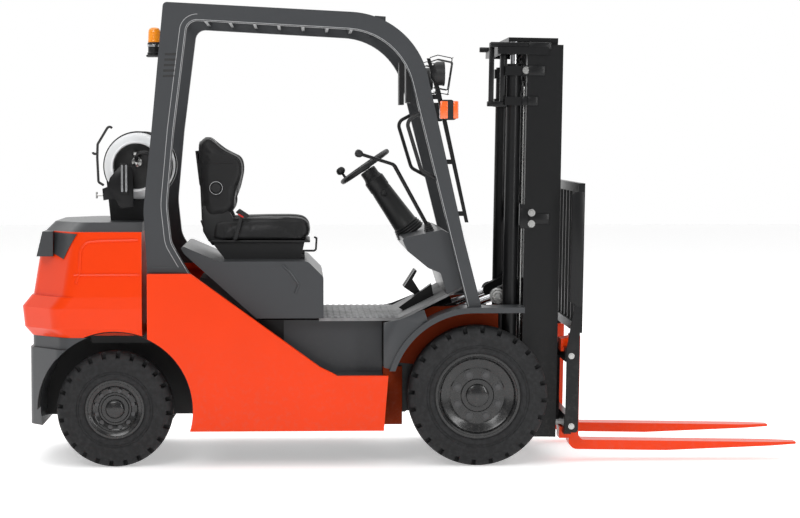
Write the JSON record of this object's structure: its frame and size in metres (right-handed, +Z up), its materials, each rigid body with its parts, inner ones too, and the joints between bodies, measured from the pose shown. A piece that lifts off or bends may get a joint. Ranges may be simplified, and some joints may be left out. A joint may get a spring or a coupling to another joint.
{
  "type": "forklift truck",
  "caption": "Seated counterbalance forklift with a two-stage mast, twin forks, overhead guard, rear gas tank and steered rear wheels.",
  "frame": {"origin": "on the floor under the middle of the truck's box", "axes": "+X forward along the forks, +Y to the truck's left, +Z up"},
  "size_m": [3.6494, 1.15, 2.145],
  "materials": {
    "orange_paint": "gloss orange-red enamel",
    "dark_paint": "satin charcoal grey",
    "black_paint": "semi-gloss black",
    "wheel_paint": "semi-gloss black",
    "tyre_rubber": "matte black rubber",
    "seat_vinyl": "black vinyl",
    "black_plastic": "moulded black plastic",
    "floor_mat": "ribbed grey mat",
    "chrome_rod": "polished chrome",
    "tank_paint": "silver-white paint",
    "amber_lens": "amber lens",
    "engine_iron": "plain casting"
  },
  "bodies": {
    "chassis": {"frame": "black_paint", "tank_boxes": "black_paint", "engine": "engine_iron", "side_panels": "orange_paint", "sills": "orange_paint", "counterweight": "orange_paint", "bumper": "dark_paint", "rear_cover": "dark_paint", "floor_plate": "floor_mat", "step_wells": "black_plastic", "front_fenders": "dark_paint", "inner_fenders": "orange_paint", "cowl": "dark_paint", "steering_column": "dark_paint", "levers": "black_plastic", "pedals": "black_paint", "guard_left": "dark_paint", "guard_right": "dark_paint", "guard_roof": "dark_paint", "lamp_stays": "black_paint", "work_lamps": "black_plastic", "turn_signals": "amber_lens", "mirrors": "black_plastic", "assist_grips": "black_plastic", "beacon": "amber_lens", "gas_tank": "tank_paint", "tank_bracket": "black_paint", "drive_axle": "black_paint", "steer_axle": "black_paint"},
    "hood": {"hood": "dark_paint", "seat_base": "black_plastic", "seat_cushion": "seat_vinyl", "seat_back": "seat_vinyl"},
    "steering_wheel": {"steering_wheel": "black_plastic"},
    "mast": {"mast_outer": "black_paint", "lift_barrels": "black_paint", "chains_rear": "black_paint"},
    "inner_mast": {"mast_inner": "black_paint", "lift_rods": "chrome_rod", "chains_front": "black_paint"},
    "carriage": {"carriage": "black_paint", "backrest": "black_paint"},
    "fork_left": {"fork_left": "orange_paint"},
    "fork_right": {"fork_right": "orange_paint"},
    "tilt_barrels": {"tilt_barrels": "black_paint"},
    "tilt_rods": {"tilt_rods": "chrome_rod"},
    "front_wheel_left": {"wheel_front_left": "wheel_paint", "tyre_front_left": "tyre_rubber"},
    "front_wheel_right": {"wheel_front_right": "wheel_paint", "tyre_front_right": "tyre_rubber"},
    "knuckle_left": {"knuckle_left": "black_paint"},
    "knuckle_right": {"knuckle_right": "black_paint"},
    "rear_wheel_left": {"wheel_rear_left": "wheel_paint", "tyre_rear_left": "tyre_rubber"},
    "rear_wheel_right": {"wheel_rear_right": "wheel_paint", "tyre_rear_right": "tyre_rubber"}
  },
  "joints": [
    {"name": "mast_tilt", "type": "hinge", "parent": "chassis", "child": "mast", "pos_m": [0.43528, 0, 0.3], "axis": [0, 1, 0], "range_deg": [-11, 5]},
    {"name": "inner_lift", "type": "slide", "parent": "mast", "child": "inner_mast", "axis": [0.0175, 0, 0.9998], "range_m": [0, 1.47], "deforming": ["chains_rear"]},
    {"name": "carriage_lift", "type": "slide", "parent": "inner_mast", "child": "carriage", "axis": [0.0175, 0, 0.9998], "range_m": [0, 1.47], "deforming": ["chains_front"]},
    {"name": "fork_left_slide", "type": "slide", "parent": "carriage", "child": "fork_left", "axis": [0, 1, 0], "range_m": [-0.25, 0.085]},
    {"name": "fork_right_slide", "type": "slide", "parent": "carriage", "child": "fork_right", "axis": [0, -1, 0], "range_m": [-0.25, 0.085]},
    {"name": "hood_open", "type": "hinge", "parent": "chassis", "child": "hood", "pos_m": [-1.06772, 0, 1], "axis": [0, -1, 0], "range_deg": [0, 14]},
    {"name": "steering_turn", "type": "hinge", "parent": "chassis", "child": "steering_wheel", "pos_m": [-0.19772, 0, 1.367], "axis": [-0.5736, 0, 0.8191], "continuous": true},
    {"name": "tilt_barrel_swing", "type": "hinge", "parent": "chassis", "child": "tilt_barrels", "pos_m": [-0.15172, 0, 0.572], "axis": [0, 1, 0], "range_deg": [-11, 5]},
    {"name": "tilt_rod_slide", "type": "slide", "parent": "tilt_barrels", "child": "tilt_rods", "axis": [0.9432, 0, 0.3322], "range_m": [-0.1, 0.06]},
    {"name": "steer_left", "type": "hinge", "parent": "chassis", "child": "knuckle_left", "pos_m": [-1.37972, 0.378, 0.268], "axis": [0, 0, 1], "range_deg": [-70, 70]},
    {"name": "steer_right", "type": "hinge", "parent": "chassis", "child": "knuckle_right", "pos_m": [-1.37972, -0.378, 0.268], "axis": [0, 0, 1], "range_deg": [-70, 70]},
    {"name": "front_wheel_left_spin", "type": "hinge", "parent": "chassis", "child": "front_wheel_left", "pos_m": [0.30028, 0.48, 0.325], "axis": [0, 1, 0], "continuous": true},
    {"name": "front_wheel_right_spin", "type": "hinge", "parent": "chassis", "child": "front_wheel_right", "pos_m": [0.30028, -0.48, 0.325], "axis": [0, 1, 0], "continuous": true},
    {"name": "rear_wheel_left_spin", "type": "hinge", "parent": "knuckle_left", "child": "rear_wheel_left", "pos_m": [-1.37972, 0.47, 0.268], "axis": [0, 1, 0], "continuous": true},
    {"name": "rear_wheel_right_spin", "type": "hinge", "parent": "knuckle_right", "child": "rear_wheel_right", "pos_m": [-1.37972, -0.47, 0.268], "axis": [0, 1, 0], "continuous": true}
  ],
  "couplings": [
    {"joint": "carriage_lift", "follows": "inner_lift", "ratio": 1},
    {"joint": "tilt_barrel_swing", "follows": "mast_tilt", "ratio": 0.206},
    {"joint": "tilt_rod_slide", "follows": "mast_tilt", "m_per_rad": 0.459},
    {"joint": "steer_right", "follows": "steer_left", "ratio": 1}
  ]
}
